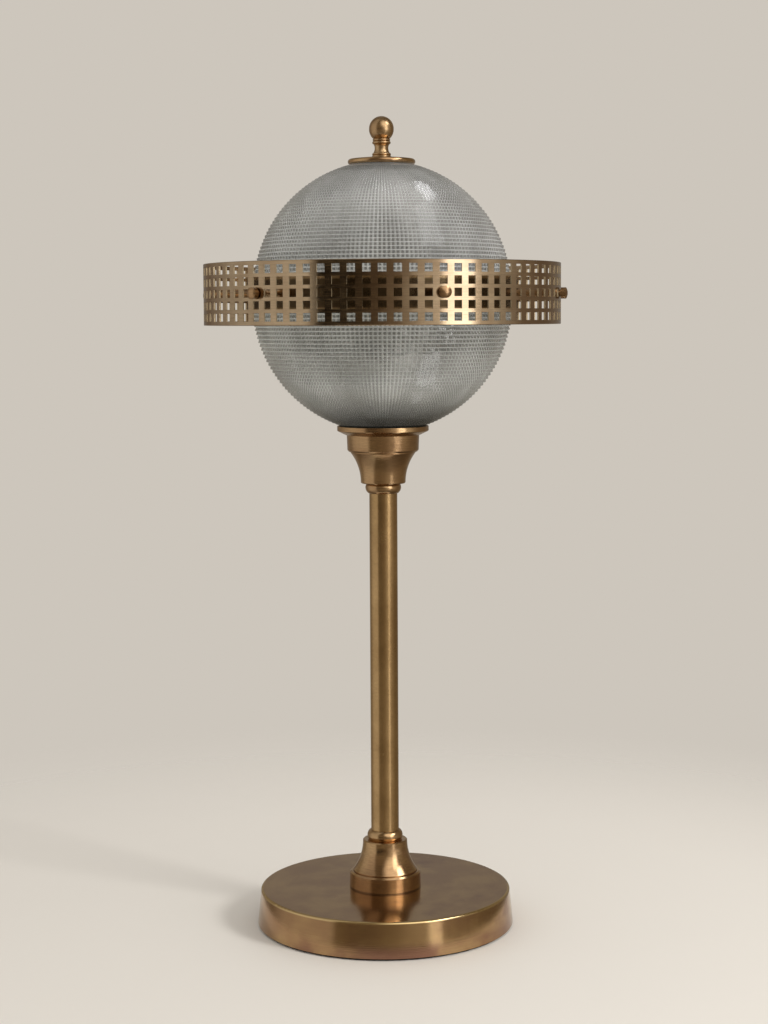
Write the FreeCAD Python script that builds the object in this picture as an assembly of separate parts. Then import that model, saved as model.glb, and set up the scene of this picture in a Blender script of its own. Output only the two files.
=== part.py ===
import FreeCAD, Part
import math
import os

# Table lamp: two ribbed glass domes make a globe inside a pierced ring, on a slim turned column
# and a weighted round base. Lengths are in millimetres and angles in degrees. +Z is up, -Y is the
# front, and the origin lies on the axis, at the underside of the felt.

# Clearances shared by many pieces
THREAD_PLAY = 0.1
SHAFT_PLAY = 0.3
SEAT_GAP = 0.1
OVERRUN = 2.0

# Base: felt, spun shell and iron weight
FELT_INSET = 1.7
FELT_THICKNESS = 2.0
SHELL_FOOT_RADIUS = 117.3
SHELL_TAPER = 2.9
SHELL_HEIGHT = 31.5
SHELL_WALL = 1.5
SHELL_EDGE_RADIUS = 2.2
WEIGHT_THICKNESS = 19.0
WEIGHT_PLAY = 0.6
WEIGHT_BOSS_RADIUS = 24.0
NUT_POCKET_RADIUS = 17.0
NUT_POCKET_DEPTH = 9.0
CABLE_CHANNEL_WIDTH = 12.0

# Cable bush in the rear of the base
BUSH_HEIGHT = 11.0
BUSH_BORE_RADIUS = 3.7
BUSH_BODY_RADIUS = 4.9
BUSH_FLANGE_RADIUS = 6.8
BUSH_FLANGE_THICKNESS = 1.6
BUSH_FLANGE_EDGE = 0.5
BUSH_LENGTH = 9.0
BUSH_RIDGE_HEIGHT = 0.6
BUSH_RIDGE_LENGTH = 1.6
BUSH_PANEL_THICKNESS = 3.0

# Rods, nuts and washers
ROD_RADIUS = 5.0
ROD_BORE_RADIUS = 3.6
ROD_END_GAP = 1.5
NUT_ACROSS_FLATS = 14.0
NUT_HEIGHT = 4.0
WASHER_RADIUS = 15.0
WASHER_THICKNESS = 2.0
UPPER_ROD_RADIUS = 3.0
UPPER_NUT_ACROSS_FLATS = 10.0
UPPER_NUT_HEIGHT = 4.0

# Castings at the foot and head of the column, the same shape turned over
CASTING_HEIGHT = 44.0
CASTING_MOUTH_RADIUS = 32.8
CASTING_RING_RADIUS = 32.3
CASTING_RING_HEIGHT = 13.6
CASTING_CHAMFER_RADIUS = 31.0
CASTING_CHAMFER_HEIGHT = 1.6
CASTING_GROOVE_WIDTH = 0.9
CASTING_GROOVE_DEPTH = 0.7
CASTING_BELL_RADIUS = 29.4
CASTING_NECK_RADIUS = 20.3
CASTING_NECK_EDGE = 0.8
CASTING_WALL = 5.5
CASTING_FLOOR = 7.0
CASTING_CAVITY_RADIUS = 13.0

# Bead collars and column tube
BEAD_HEIGHT = 9.0
BEAD_RADIUS = 16.2
BEAD_SEAT_RADIUS = 14.9
BEAD_NOSE_RADIUS = 13.4
BEAD_FLOOR = 3.0
BEAD_CREST_SHARE = 0.45
TUBE_RADIUS = 12.7
TUBE_WALL = 1.5
TUBE_EXPOSED = 310.2

# Gallery dish that carries the lower dome
GALLERY_RADIUS = 41.4
GALLERY_FOOT_RADIUS = 34.0
GALLERY_TAPER_HEIGHT = 3.6
GALLERY_RIM_HEIGHT = 4.7
GALLERY_WALL = 1.6
GALLERY_EDGE = 0.7
GALLERY_FLOOR = 1.8
GASKET_THICKNESS = 1.6

# Glass domes: radii are over the rib tips, and the flat is where the glass is ground to its seat.
# A rib's face is the share of its pitch that slants outwards, and the rest is a ledge back in.
GLASS_WALL = 5.0
LOWER_RADIUS = 117.2
LOWER_FLAT_RADIUS = 19.9
LOWER_HOLE_RADIUS = 12.0
LOWER_LIP = 2.3
LOWER_PLAIN_RADIUS = 27.0
LOWER_RIB_DEPTH = 1.6
LOWER_FACE_SHARE = 0.6
LOWER_RIBS = 42
UPPER_INSET = 1.1
UPPER_FLAT_RADIUS = 17.0
UPPER_HOLE_RADIUS = 8.6
UPPER_RIM_RISE = 2.3
UPPER_PLAIN_RADIUS = 35.5
UPPER_RIB_DEPTH = 1.1
UPPER_FACE_SHARE = 0.65
UPPER_RIBS = 40

# Rim joint between the domes
RIM_GASKET_THICKNESS = 1.5
SPACER_HEIGHT = 7.0
SPACER_OVERLAP = 2.0
INNER_BAND_GAP = 2.6
INNER_BAND_WALL = 1.2
INNER_BAND_HEIGHT = 31.0
INNER_BAND_EDGE = 0.4

# Pierced ring, its stand-offs and screws
RING_REACH = 37.5
RING_WALL = 1.5
RING_HEIGHT = 54.4
RING_EDGE = 0.4
RING_COLUMNS = 78
RING_ROWS = 5
WINDOW_WIDTH = 7.0
WINDOW_HEIGHT = 7.0
WINDOW_ROW_PITCH = 10.1
SCREWS = 6
FIRST_SCREW_COLUMNS = 4
STANDOFF_RADIUS = 4.0
SCREW_RADIUS = 2.0
SCREW_NECK_RADIUS = 3.2
SCREW_NECK_LENGTH = 1.1
SCREW_HEAD_RADIUS = 5.0
SCREW_HEAD_LENGTH = 4.4
SCREW_HEAD_CROWN = 1.4
SCREW_TIP_GAP = 2.0

# Lamp cluster inside the globe
HUB_HEIGHT = 62.3
HUB_RADIUS = 17.0
HUB_HALF_HEIGHT = 14.0
HUB_THREAD = 7.0
HOLDER_TILT = 45.0
HOLDER_START = 21.0
HOLDER_RADIUS = 13.0
HOLDER_WALL = 1.5
HOLDER_FLOOR = 3.0
HOLDER_LENGTH = 40.0
HOLDER_NIPPLE_STANDING = 3.0
CORE_THICKNESS = 6.7
SLEEVE_RADIUS = 7.3
SLEEVE_WALL = 0.6
CAP_RADIUS = 6.95
CAP_TIP_RADIUS = 2.5
CAP_INSULATOR_HEIGHT = 2.7
CAP_LENGTH = 23.7
CAP_FLARE_RADIUS = 8.6
CAP_FLARE_HEIGHT = 3.6
BULB_LENGTH = 78.0
BULB_RADIUS = 22.5
BULB_NECK_RADIUS = 8.3
BULB_SHOULDER_RADIUS = 12.0
BULB_WALL = 1.0

# Top disc and finial
DOME_WASHER_THICKNESS = 1.2
DOME_WASHER_RADIUS = 15.5
DISC_RADIUS = 30.2
DISC_THICKNESS = 3.0
DISC_RIM_DROP = 1.7
DISC_RIM_ROUND = 1.3
DISC_LAND_RADIUS = 13.0
DISC_DOME_GAP = 0.4
FINIAL_HEIGHT = 36.4
FINIAL_BALL_RADIUS = 11.0
FINIAL_THREAD = 6.0
FINIAL_TAPPING_GAP = 2.0
SPIGOT_RADIUS = 6.4
SPIGOT_FLARE_RADIUS = 7.6
SPIGOT_FLARE_THICKNESS = 0.5

# The finial's outline from its foot to the ball: radii as shares of the ball's radius, heights as
# shares of the finial's height. Each corner stands alone, each pair is an arc's middle and end.
FINIAL_FOOT_SHARES = (0.73, 0.0)
FINIAL_SHARES = (
    (0.765, 0.01),
    (0.765, 0.04),
    (0.70, 0.05),
    ((0.765, 0.075), (0.69, 0.10)),
    ((0.59, 0.155), (0.555, 0.227)),
    ((0.575, 0.275), (0.64, 0.315)),
    ((0.75, 0.355), (0.655, 0.393)),
    ((0.715, 0.42), (0.66, 0.447)),
)
FINIAL_BELLY_SHARES = (0.90, 0.545)

# Heights, from the table up
shell_top = FELT_THICKNESS + SHELL_HEIGHT
foot_neck = shell_top + CASTING_HEIGHT
tube_foot = foot_neck + BEAD_HEIGHT
tube_head = tube_foot + TUBE_EXPOSED
head_neck = tube_head + BEAD_HEIGHT
gallery_foot = head_neck + CASTING_HEIGHT
gallery_top = gallery_foot + GALLERY_TAPER_HEIGHT + GALLERY_RIM_HEIGHT
gallery_floor = gallery_foot + GALLERY_FLOOR
lower_flat = gallery_floor + GASKET_THICKNESS
lower_centre = lower_flat + math.sqrt(LOWER_RADIUS**2 - LOWER_FLAT_RADIUS**2)
lower_rim = lower_centre + LOWER_LIP
spacer_foot = lower_rim + RIM_GASKET_THICKNESS
ring_centre = spacer_foot + SPACER_HEIGHT / 2
spacer_top = spacer_foot + SPACER_HEIGHT
upper_rim = spacer_top + RIM_GASKET_THICKNESS
upper_centre = upper_rim - UPPER_RIM_RISE
upper_radius = LOWER_RADIUS - UPPER_INSET
upper_flat = upper_centre + math.sqrt(upper_radius**2 - UPPER_FLAT_RADIUS**2)
disc_foot = upper_flat + DOME_WASHER_THICKNESS
disc_top = disc_foot + DISC_THICKNESS
hub_centre = gallery_foot + HUB_HEIGHT
tilt = math.radians(HOLDER_TILT)
nipple_start = (UPPER_ROD_RADIUS + SHAFT_PLAY + ROD_RADIUS * math.sin(tilt)) / math.cos(tilt)
holder_core = HOLDER_START + HOLDER_FLOOR + HOLDER_NIPPLE_STANDING + SHAFT_PLAY
sleeve_start = holder_core + CORE_THICKNESS

# Radii that several pieces share
rod_hole = ROD_RADIUS + SHAFT_PLAY
shell_top_radius = SHELL_FOOT_RADIUS - SHELL_TAPER
inner_band_bore = LOWER_RADIUS + INNER_BAND_GAP
inner_band_radius = inner_band_bore + INNER_BAND_WALL
spacer_radius = inner_band_bore - SEAT_GAP
spacer_bore = LOWER_RADIUS - GLASS_WALL - SPACER_OVERLAP
ring_bore = inner_band_radius + RING_REACH
ring_radius = ring_bore + RING_WALL
screw_hole = SCREW_RADIUS + SHAFT_PLAY
column_angle = 360 / RING_COLUMNS
screw_angles = [
    column_angle * (FIRST_SCREW_COLUMNS + copy * RING_COLUMNS / SCREWS) for copy in range(SCREWS)
]

UP = FreeCAD.Vector(0, 0, 1)
ORIGIN = FreeCAD.Vector(0, 0, 0)


def place(radius, height):
    """A point of a turned outline."""
    return FreeCAD.Vector(radius, 0, height)


def turned(start, *steps):
    """A solid turned about +Z. A step is a corner, or the middle and the end of an arc."""
    here = place(*start)
    edges = []
    for step in steps + (start,):
        if isinstance(step[0], tuple):
            end = place(*step[1])
            edges.append(Part.Arc(here, place(*step[0]), end).toShape())
            here = end
        elif place(*step) != here:
            edges.append(Part.makeLine(here, place(*step)))
            here = place(*step)
    return Part.Face(Part.Wire(edges)).revolve(ORIGIN, UP, 360)


def ring(outer, bore, foot, top):
    """A plain washer, ring or tube on the axis."""
    return turned((bore, foot), (outer, foot), (outer, top), (bore, top))


def rod(radius, foot, top, point=ORIGIN, direction=UP):
    """A plain round bar along a direction, from one distance to another."""
    return Part.makeCylinder(radius, top - foot, point + direction * foot, direction)


def hex_nut(across_flats, bore, foot, height):
    """A hexagon nut on the axis."""
    corner = across_flats / math.sqrt(3)
    spots = [math.radians(60 * side) for side in range(7)]
    outline = [FreeCAD.Vector(corner * math.cos(a), corner * math.sin(a), foot) for a in spots]
    prism = Part.Face(Part.makePolygon(outline)).extrude(UP * height)
    return prism.cut(rod(bore, foot - OVERRUN, foot + height + OVERRUN))


def laid_along(shape, direction, point=ORIGIN):
    """A piece turned about +Z, laid along another direction from a point."""
    moved = shape.copy()
    moved.Placement = FreeCAD.Placement(point, FreeCAD.Rotation(UP, direction))
    return moved


def outward(azimuth):
    """The horizontal direction at an azimuth counted from the front towards +X."""
    angle = math.radians(azimuth)
    return FreeCAD.Vector(math.sin(angle), -math.cos(angle), 0)


def on_sphere(radius, angle):
    """Radius and height over the equator of a point on a sphere's outline."""
    return radius * math.cos(angle), radius * math.sin(angle)


def shell_side(height):
    """Outer radius of the base shell's slanted side at a height."""
    share = (height - FELT_THICKNESS) / (SHELL_HEIGHT - SHELL_EDGE_RADIUS)
    return SHELL_FOOT_RADIUS - SHELL_TAPER * share


def bush_face():
    """Distance from the axis to the back of the cable bush's flange, clear of the shell."""
    return shell_side(BUSH_HEIGHT - BUSH_FLANGE_RADIUS) + SEAT_GAP


def base_felt():
    return rod(SHELL_FOOT_RADIUS - FELT_INSET, 0, FELT_THICKNESS)


def base_shell():
    """Spun shell with a slightly tapered side and a tight rounded edge."""
    edge_centre = shell_top_radius - SHELL_EDGE_RADIUS
    edge_share = math.sqrt(0.5)
    edge_middle = (
        edge_centre + SHELL_EDGE_RADIUS * edge_share,
        shell_top - SHELL_EDGE_RADIUS + SHELL_EDGE_RADIUS * edge_share,
    )
    shell = turned(
        (SHELL_FOOT_RADIUS - SHELL_WALL, FELT_THICKNESS),
        (SHELL_FOOT_RADIUS, FELT_THICKNESS),
        (shell_top_radius, shell_top - SHELL_EDGE_RADIUS),
        (edge_middle, (edge_centre, shell_top)),
        (rod_hole, shell_top),
        (rod_hole, shell_top - SHELL_WALL),
        (shell_side(shell_top - SHELL_WALL) - SHELL_WALL, shell_top - SHELL_WALL),
    )
    bush_hole = rod(
        BUSH_BODY_RADIUS + SEAT_GAP,
        bush_face() / 2,
        bush_face() + OVERRUN,
        UP * BUSH_HEIGHT,
        outward(180),
    )
    return shell.cut(bush_hole)


def base_weight():
    """Iron disc with a boss under the column, a pocket for the nut and a channel for a cable."""
    boss_top = shell_top - SHELL_WALL
    disc_top_height = FELT_THICKNESS + WEIGHT_THICKNESS
    foot_radius = shell_side(FELT_THICKNESS) - SHELL_WALL - WEIGHT_PLAY
    top_radius = shell_side(disc_top_height) - SHELL_WALL - WEIGHT_PLAY
    disc = turned(
        (rod_hole, FELT_THICKNESS),
        (foot_radius, FELT_THICKNESS),
        (top_radius, disc_top_height),
        (WEIGHT_BOSS_RADIUS, disc_top_height),
        (WEIGHT_BOSS_RADIUS, boss_top),
        (rod_hole, boss_top),
    )
    pocket = rod(NUT_POCKET_RADIUS, FELT_THICKNESS - OVERRUN, FELT_THICKNESS + NUT_POCKET_DEPTH)
    channel_top = BUSH_HEIGHT + CABLE_CHANNEL_WIDTH / 2
    channel = Part.makeBox(
        CABLE_CHANNEL_WIDTH,
        foot_radius + OVERRUN,
        channel_top - FELT_THICKNESS + OVERRUN,
        FreeCAD.Vector(-CABLE_CHANNEL_WIDTH / 2, 0, FELT_THICKNESS - OVERRUN),
    )
    core = rod(WASHER_RADIUS + SHAFT_PLAY, 0, channel_top + OVERRUN)
    return disc.cut([pocket, channel.cut(core)])


def cable_bush():
    """Snap-in bush whose bore is the way in for a cable."""
    face = bush_face()
    ridge = face - BUSH_PANEL_THICKNESS
    bush = turned(
        (BUSH_BORE_RADIUS, face - BUSH_LENGTH),
        (BUSH_BODY_RADIUS, face - BUSH_LENGTH),
        (BUSH_BODY_RADIUS, ridge - BUSH_RIDGE_LENGTH),
        (BUSH_BODY_RADIUS + BUSH_RIDGE_HEIGHT, ridge),
        (BUSH_BODY_RADIUS, ridge),
        (BUSH_BODY_RADIUS, face),
        (BUSH_FLANGE_RADIUS, face),
        (BUSH_FLANGE_RADIUS, face + BUSH_FLANGE_THICKNESS - BUSH_FLANGE_EDGE),
        (BUSH_FLANGE_RADIUS - BUSH_FLANGE_EDGE, face + BUSH_FLANGE_THICKNESS),
        (BUSH_BORE_RADIUS, face + BUSH_FLANGE_THICKNESS),
    )
    return laid_along(bush, outward(180), UP * BUSH_HEIGHT)


def casting(mouth, way):
    """Hollow bell casting: a short ring, a groove and a concave bell. Way is +1 with the mouth
    down and -1 with the mouth up."""
    chamfer_top = CASTING_RING_HEIGHT + CASTING_CHAMFER_HEIGHT
    bell_start = chamfer_top + CASTING_GROOVE_WIDTH
    bell_end = CASTING_HEIGHT - CASTING_NECK_EDGE
    flare = CASTING_BELL_RADIUS - CASTING_NECK_RADIUS
    length = bell_end - bell_start
    sweep = (flare**2 + length**2) / (2 * flare)
    half_turn = math.asin(length / sweep) / 2
    bell_middle = (
        CASTING_NECK_RADIUS + sweep - sweep * math.cos(half_turn),
        mouth + way * (bell_end - sweep * math.sin(half_turn)),
    )
    groove_radius = CASTING_BELL_RADIUS - CASTING_GROOVE_DEPTH
    return turned(
        (CASTING_MOUTH_RADIUS - CASTING_WALL, mouth),
        (CASTING_MOUTH_RADIUS, mouth),
        (CASTING_RING_RADIUS, mouth + way * CASTING_RING_HEIGHT),
        (CASTING_CHAMFER_RADIUS, mouth + way * chamfer_top),
        (groove_radius, mouth + way * chamfer_top),
        (groove_radius, mouth + way * bell_start),
        (CASTING_BELL_RADIUS, mouth + way * bell_start),
        (bell_middle, (CASTING_NECK_RADIUS, mouth + way * bell_end)),
        (CASTING_NECK_RADIUS - CASTING_NECK_EDGE, mouth + way * CASTING_HEIGHT),
        (rod_hole, mouth + way * CASTING_HEIGHT),
        (rod_hole, mouth + way * (CASTING_HEIGHT - CASTING_FLOOR)),
        (CASTING_CAVITY_RADIUS, mouth + way * (CASTING_HEIGHT - CASTING_FLOOR)),
        (CASTING_MOUTH_RADIUS - CASTING_WALL, mouth + way * CASTING_RING_HEIGHT / 2),
    )


def bead(seat, way):
    """Rounded collar that holds an end of the tube. Way is +1 with the casting below it."""
    nose = seat + way * BEAD_HEIGHT
    floor = seat + way * BEAD_FLOOR
    socket = TUBE_RADIUS + SEAT_GAP
    return turned(
        (rod_hole, seat),
        (BEAD_SEAT_RADIUS, seat),
        ((BEAD_RADIUS, seat + way * BEAD_HEIGHT * BEAD_CREST_SHARE), (BEAD_NOSE_RADIUS, nose)),
        (socket, nose),
        (socket, floor),
        (rod_hole, floor),
    )


def column_tube():
    depth = BEAD_HEIGHT - BEAD_FLOOR
    return ring(TUBE_RADIUS, TUBE_RADIUS - TUBE_WALL, tube_foot - depth, tube_head + depth)


def gallery_dish():
    """Shallow dish with a rounded upright rim and a tapered underside."""
    rim_foot = gallery_foot + GALLERY_TAPER_HEIGHT
    rim_bore = GALLERY_RADIUS - GALLERY_WALL
    crown = gallery_top - GALLERY_WALL / 2
    return turned(
        (rod_hole, gallery_foot),
        (GALLERY_FOOT_RADIUS, gallery_foot),
        (GALLERY_RADIUS - GALLERY_EDGE, rim_foot - GALLERY_EDGE / 2),
        (GALLERY_RADIUS, rim_foot + GALLERY_EDGE / 2),
        (GALLERY_RADIUS, crown),
        ((GALLERY_RADIUS - GALLERY_WALL / 2, gallery_top), (rim_bore, crown)),
        (rim_bore, rim_foot + GALLERY_FLOOR / 2),
        (GALLERY_FOOT_RADIUS + GALLERY_EDGE, gallery_floor),
        (rod_hole, gallery_floor),
    )


def dome_gasket():
    return ring(LOWER_FLAT_RADIUS, LOWER_HOLE_RADIUS, gallery_floor, lower_flat)


def ribs(radius, depth, face_share, start, end, count):
    """Corners of the prismatic ribs on a dome, from one angle over its equator to another."""
    step = (end - start) / count
    corners = []
    for rib in range(count):
        foot = start + step * rib
        corners.append(on_sphere(radius, foot + step * face_share))
        corners.append(on_sphere(radius - depth, foot + step))
    return corners


def dome(radius, centre, rim, flat, hole, plain_radius, rib_depth, face_share, rib_count):
    """Half globe of ribbed glass, open at its rim and ground flat round a hole at its pole. It
    stands over its centre if the flat is higher than the rim, and hangs under it otherwise."""
    way = 1 if flat > rim else -1
    rim_rise = way * (rim - centre)
    flat_rise = way * (flat - centre)
    bore = radius - GLASS_WALL
    valley = radius - rib_depth
    start = math.asin(max(rim_rise, 0) / valley)
    plain = math.acos(plain_radius / radius)
    pole = math.asin(flat_rise / radius)
    inner_start = math.asin(max(rim_rise, 0) / bore)
    inner_pole = math.asin((flat_rise - GLASS_WALL) / bore)
    inner_rim = on_sphere(bore, inner_start)
    outline = []
    if rim_rise < 0:
        outline += [(bore, rim_rise), (valley, rim_rise)]
    outline.append(on_sphere(valley, start))
    outline += ribs(radius, rib_depth, face_share, start, plain, rib_count)
    outline.append(on_sphere(radius, plain))
    outline.append((on_sphere(radius, (plain + pole) / 2), on_sphere(radius, pole)))
    outline += [(hole, flat_rise), (hole, flat_rise - GLASS_WALL)]
    outline.append(on_sphere(bore, inner_pole))
    outline.append((on_sphere(bore, (inner_pole + inner_start) / 2), inner_rim))

    def level(step):
        if isinstance(step[0], tuple):
            return tuple(level(point) for point in step)
        return step[0], centre + way * step[1]

    return turned(level(inner_rim), *[level(step) for step in outline])


def lower_dome():
    return dome(
        LOWER_RADIUS,
        lower_centre,
        lower_rim,
        lower_flat,
        LOWER_HOLE_RADIUS,
        LOWER_PLAIN_RADIUS,
        LOWER_RIB_DEPTH,
        LOWER_FACE_SHARE,
        LOWER_RIBS,
    )


def upper_dome():
    return dome(
        upper_radius,
        upper_centre,
        upper_rim,
        upper_flat,
        UPPER_HOLE_RADIUS,
        UPPER_PLAIN_RADIUS,
        UPPER_RIB_DEPTH,
        UPPER_FACE_SHARE,
        UPPER_RIBS,
    )


def rim_gasket(radius, rib_depth, foot):
    return ring(radius - rib_depth, radius - GLASS_WALL, foot, foot + RIM_GASKET_THICKNESS)


def band(radius, bore, height, edge):
    """An upright band round the middle of the globe, with broken outer edges."""
    foot = ring_centre - height / 2
    top = ring_centre + height / 2
    return turned(
        (bore, foot),
        (radius - edge, foot),
        (radius, foot + edge),
        (radius, top - edge),
        (radius - edge, top),
        (bore, top),
    )


def rim_spacer():
    """Ring between the two rims, tapped for the screws of the pierced ring."""
    spacer = ring(spacer_radius, spacer_bore, spacer_foot, spacer_top)
    holes = [
        rod(
            SCREW_RADIUS + THREAD_PLAY,
            spacer_bore - OVERRUN,
            spacer_radius + OVERRUN,
            UP * ring_centre,
            outward(angle),
        )
        for angle in screw_angles
    ]
    return spacer.cut(holes)


def inner_band():
    """Plain band round the joint of the domes, drilled for the screws."""
    plain = band(inner_band_radius, inner_band_bore, INNER_BAND_HEIGHT, INNER_BAND_EDGE)
    holes = [
        rod(
            screw_hole,
            inner_band_bore - OVERRUN,
            inner_band_radius + OVERRUN,
            UP * ring_centre,
            outward(angle),
        )
        for angle in screw_angles
    ]
    return plain.cut(holes)


def window(column, row):
    """Cutter for one square window of the pierced ring."""
    height = ring_centre + WINDOW_ROW_PITCH * (row - (RING_ROWS - 1) / 2)
    cutter = Part.makeBox(
        WINDOW_WIDTH,
        RING_WALL + 2 * OVERRUN,
        WINDOW_HEIGHT,
        FreeCAD.Vector(
            -WINDOW_WIDTH / 2, -ring_radius - OVERRUN, height - WINDOW_HEIGHT / 2
        ),
    )
    cutter.rotate(ORIGIN, UP, column_angle * column)
    return cutter


def pierced_ring():
    """Rolled ring with rows of square windows. A screw takes the place of a window."""
    plain = band(ring_radius, ring_bore, RING_HEIGHT, RING_EDGE)
    screw_columns = [round(angle / column_angle) % RING_COLUMNS for angle in screw_angles]
    middle_row = (RING_ROWS - 1) / 2
    cutters = [
        window(column, row)
        for column in range(RING_COLUMNS)
        for row in range(RING_ROWS)
        if row != middle_row or column not in screw_columns
    ]
    cutters += [
        rod(
            screw_hole,
            ring_bore - OVERRUN,
            ring_radius + OVERRUN,
            UP * ring_centre,
            outward(angle),
        )
        for angle in screw_angles
    ]
    return plain.cut(cutters)


def standoffs():
    """Tubes that hold the pierced ring off the inner band."""
    reach = math.sqrt((ring_bore - SEAT_GAP / 2) ** 2 - STANDOFF_RADIUS**2)
    tube = ring(STANDOFF_RADIUS, screw_hole, inner_band_radius + SEAT_GAP / 2, reach)
    return [laid_along(tube, outward(angle), UP * ring_centre) for angle in screw_angles]


def ring_screws():
    """Screws with a narrow neck and a crowned round head, from the pierced ring to the spacer."""
    neck = ring_radius + SEAT_GAP / 2
    head = neck + SCREW_NECK_LENGTH
    brow = head + SCREW_HEAD_LENGTH
    crown_radius = (SCREW_HEAD_RADIUS**2 + SCREW_HEAD_CROWN**2) / (2 * SCREW_HEAD_CROWN)
    half_way = SCREW_HEAD_RADIUS / 2
    dip = crown_radius - math.sqrt(crown_radius**2 - half_way**2)
    crown = brow + SCREW_HEAD_CROWN
    screw = turned(
        (0, spacer_bore + SCREW_TIP_GAP),
        (SCREW_RADIUS, spacer_bore + SCREW_TIP_GAP),
        (SCREW_RADIUS, neck),
        (SCREW_NECK_RADIUS, neck),
        (SCREW_NECK_RADIUS, head),
        (SCREW_HEAD_RADIUS, head),
        (SCREW_HEAD_RADIUS, brow),
        ((half_way, crown - dip), (0, crown)),
    )
    return [laid_along(screw, outward(angle), UP * ring_centre) for angle in screw_angles]


def lower_rod_top():
    return hub_centre - HUB_HALF_HEIGHT + HUB_THREAD


def lower_rod():
    """Hollow threaded rod that draws the whole column together."""
    return ring(ROD_RADIUS, ROD_BORE_RADIUS, FELT_THICKNESS + ROD_END_GAP, lower_rod_top())


def upper_rod():
    foot = hub_centre + HUB_HALF_HEIGHT - HUB_THREAD
    return rod(UPPER_ROD_RADIUS, foot, disc_top + FINIAL_THREAD)


def base_washer():
    ceiling = FELT_THICKNESS + NUT_POCKET_DEPTH
    return ring(WASHER_RADIUS, rod_hole, ceiling - WASHER_THICKNESS, ceiling)


def base_nut():
    foot = FELT_THICKNESS + NUT_POCKET_DEPTH - WASHER_THICKNESS - NUT_HEIGHT
    return hex_nut(NUT_ACROSS_FLATS, ROD_RADIUS + THREAD_PLAY, foot, NUT_HEIGHT)


def clamp_washer():
    foot = lower_flat + GLASS_WALL
    return ring(WASHER_RADIUS, rod_hole, foot, foot + WASHER_THICKNESS)


def clamp_nut():
    foot = lower_flat + GLASS_WALL + WASHER_THICKNESS
    return hex_nut(NUT_ACROSS_FLATS, ROD_RADIUS + THREAD_PLAY, foot, NUT_HEIGHT)


def upper_rod_nut():
    foot = hub_centre + HUB_HALF_HEIGHT
    bore = UPPER_ROD_RADIUS + THREAD_PLAY
    return hex_nut(UPPER_NUT_ACROSS_FLATS, bore, foot, UPPER_NUT_HEIGHT)


def holder_direction(side):
    """The direction in which a lampholder points, on the right for +1 and the left for -1."""
    return FreeCAD.Vector(side * math.cos(tilt), 0, math.sin(tilt))


def cluster_hub():
    """Ball with flats, tapped for both rods and for a nipple to each lampholder, and bored
    between them for the wires."""
    centre = UP * hub_centre
    slab = rod(HUB_RADIUS, -HUB_HALF_HEIGHT, HUB_HALF_HEIGHT, centre)
    ball = Part.makeSphere(HUB_RADIUS, centre).common(slab)
    tapped = ROD_RADIUS + THREAD_PLAY
    upper_foot = hub_centre + HUB_HALF_HEIGHT - HUB_THREAD - SEAT_GAP
    bores = [
        rod(tapped, hub_centre - HUB_RADIUS, lower_rod_top() + SEAT_GAP),
        rod(UPPER_ROD_RADIUS + THREAD_PLAY, upper_foot, hub_centre + HUB_RADIUS),
        rod(ROD_BORE_RADIUS, hub_centre - HUB_RADIUS, hub_centre),
    ]
    for side in (-1, 1):
        way = holder_direction(side)
        bores.append(rod(tapped, nipple_start - SEAT_GAP, HUB_RADIUS + OVERRUN, centre, way))
        bores.append(rod(ROD_BORE_RADIUS, 0, HUB_RADIUS, centre, way))
    return ball.cut(bores)


def to_side(shape, side):
    """A piece of a lampholder or bulb, laid along that side's direction from the hub."""
    return laid_along(shape, holder_direction(side), UP * hub_centre)


def nipple():
    end = HOLDER_START + HOLDER_FLOOR + HOLDER_NIPPLE_STANDING
    return ring(ROD_RADIUS, ROD_BORE_RADIUS, nipple_start, end)


def holder_shell():
    end = HOLDER_START + HOLDER_LENGTH
    floor = HOLDER_START + HOLDER_FLOOR
    bore = HOLDER_RADIUS - HOLDER_WALL
    thread = ROD_RADIUS + THREAD_PLAY
    return turned(
        (thread, HOLDER_START),
        (HOLDER_RADIUS - HOLDER_WALL, HOLDER_START),
        (HOLDER_RADIUS, HOLDER_START + HOLDER_WALL),
        (HOLDER_RADIUS, end),
        (bore, end),
        (bore, floor),
        (thread, floor),
    )


def holder_insulator():
    radius = HOLDER_RADIUS - HOLDER_WALL - SEAT_GAP
    return rod(radius, holder_core, sleeve_start)


def holder_sleeve():
    """Threaded sleeve that takes the bulb's cap."""
    end = sleeve_start + CAP_LENGTH - CAP_FLARE_HEIGHT
    return ring(SLEEVE_RADIUS + SLEEVE_WALL, SLEEVE_RADIUS, sleeve_start, end)


def bulb_cap():
    tip = sleeve_start + SHAFT_PLAY
    end = tip + CAP_LENGTH
    return turned(
        (0, tip),
        (CAP_TIP_RADIUS, tip),
        (CAP_RADIUS, tip + CAP_INSULATOR_HEIGHT),
        (CAP_RADIUS, end - CAP_FLARE_HEIGHT),
        (CAP_FLARE_RADIUS, end),
        (0, end),
    )


def bulb_glass():
    """Hollow golf-ball bulb on a short neck."""
    tip = sleeve_start + SHAFT_PLAY
    neck = tip + CAP_LENGTH
    ball_centre = tip + BULB_LENGTH - BULB_RADIUS
    inner = BULB_RADIUS - BULB_WALL
    inner_shoulder = BULB_SHOULDER_RADIUS - BULB_WALL
    shoulder = ball_centre - math.sqrt(BULB_RADIUS**2 - BULB_SHOULDER_RADIUS**2)
    inner_rise = ball_centre - math.sqrt(inner**2 - inner_shoulder**2)
    return turned(
        (BULB_NECK_RADIUS - BULB_WALL, neck),
        (BULB_NECK_RADIUS, neck),
        (BULB_SHOULDER_RADIUS, shoulder),
        ((BULB_RADIUS, ball_centre), (0, ball_centre + BULB_RADIUS)),
        (0, ball_centre + inner),
        ((inner, ball_centre), (inner_shoulder, inner_rise)),
    )


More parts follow.
